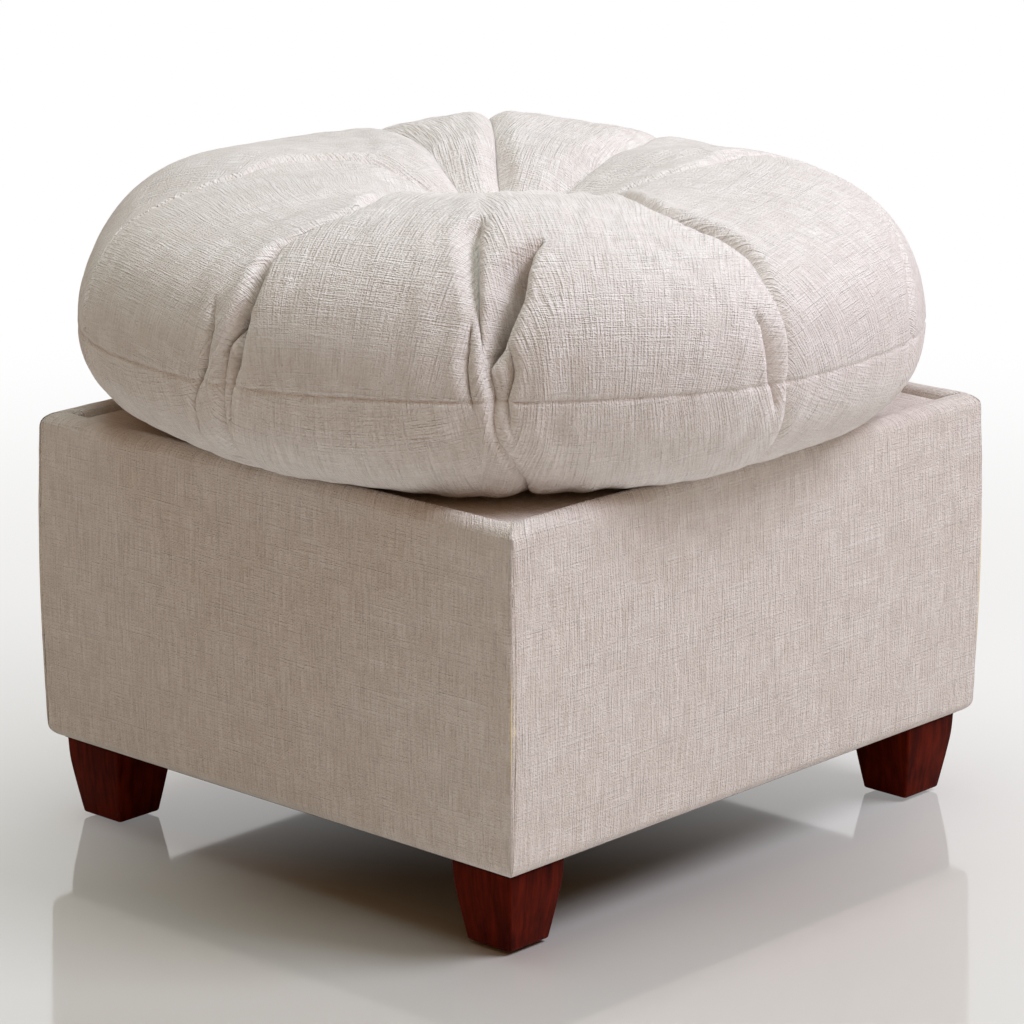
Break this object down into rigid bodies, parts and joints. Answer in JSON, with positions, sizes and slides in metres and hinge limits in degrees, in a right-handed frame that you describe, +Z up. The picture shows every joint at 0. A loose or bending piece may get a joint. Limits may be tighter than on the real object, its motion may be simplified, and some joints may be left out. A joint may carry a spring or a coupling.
{
  "type": "upholstered pouf",
  "caption": "Upholstered box pouf on tapered wooden feet, with a loose round cushion tufted at its middle that lifts off the top.",
  "frame": {"origin": "on the floor, under the middle of the box", "axes": "+Z up; +X along the front face to its right; -Y out of the front face"},
  "size_m": [0.7117, 0.7175, 0.5711],
  "materials": {
    "base_fabric": "matte",
    "cushion_fabric": "matte",
    "foot_wood": "satin",
    "plywood": "matte",
    "softwood": "matte",
    "foam": "matte",
    "fibre_fill": "matte",
    "dust_cloth": "matte",
    "steel": "satin",
    "nylon": "matte",
    "twine": "matte"
  },
  "bodies": {
    "base": {"frame_panel_front": "plywood", "frame_panel_right": "plywood", "frame_panel_back": "plywood", "frame_panel_left": "plywood", "deck_cleat_front": "softwood", "deck_cleat_right": "softwood", "deck_cleat_back": "softwood", "deck_cleat_left": "softwood", "corner_block_front_left": "softwood", "corner_block_front_right": "softwood", "corner_block_back_right": "softwood", "corner_block_back_left": "softwood", "deck_board": "plywood", "deck_pad": "foam", "deck_cover": "base_fabric", "side_pad_front": "foam", "side_pad_right": "foam", "side_pad_back": "foam", "side_pad_left": "foam", "side_cover_front": "base_fabric", "side_cover_right": "base_fabric", "side_cover_back": "base_fabric", "side_cover_left": "base_fabric", "dust_cover": "dust_cloth", "dust_cover_staples": "steel", "foot_front_left": "foot_wood", "foot_front_right": "foot_wood", "foot_back_right": "foot_wood", "foot_back_left": "foot_wood", "foot_glide_front_left": "nylon", "foot_glide_front_right": "nylon", "foot_glide_back_right": "nylon", "foot_glide_back_left": "nylon", "hanger_bolt_front_left": "steel", "hanger_bolt_front_right": "steel", "hanger_bolt_back_right": "steel", "hanger_bolt_back_left": "steel", "tee_nut_front_left": "steel", "tee_nut_front_right": "steel", "tee_nut_back_right": "steel", "tee_nut_back_left": "steel", "frame_screws": "steel", "cleat_screws": "steel", "block_screws": "steel"},
    "cushion": {"cushion_top_panel": "cushion_fabric", "cushion_bottom_panel": "cushion_fabric", "cushion_fill": "fibre_fill", "top_button": "cushion_fabric", "bottom_button": "cushion_fabric", "tufting_twine": "twine"}
  },
  "joints": [
    {"name": "cushion_lift", "type": "slide", "parent": "base", "child": "cushion", "axis": [0, 0, 1], "range_m": [0, 0.3]}
  ]
}
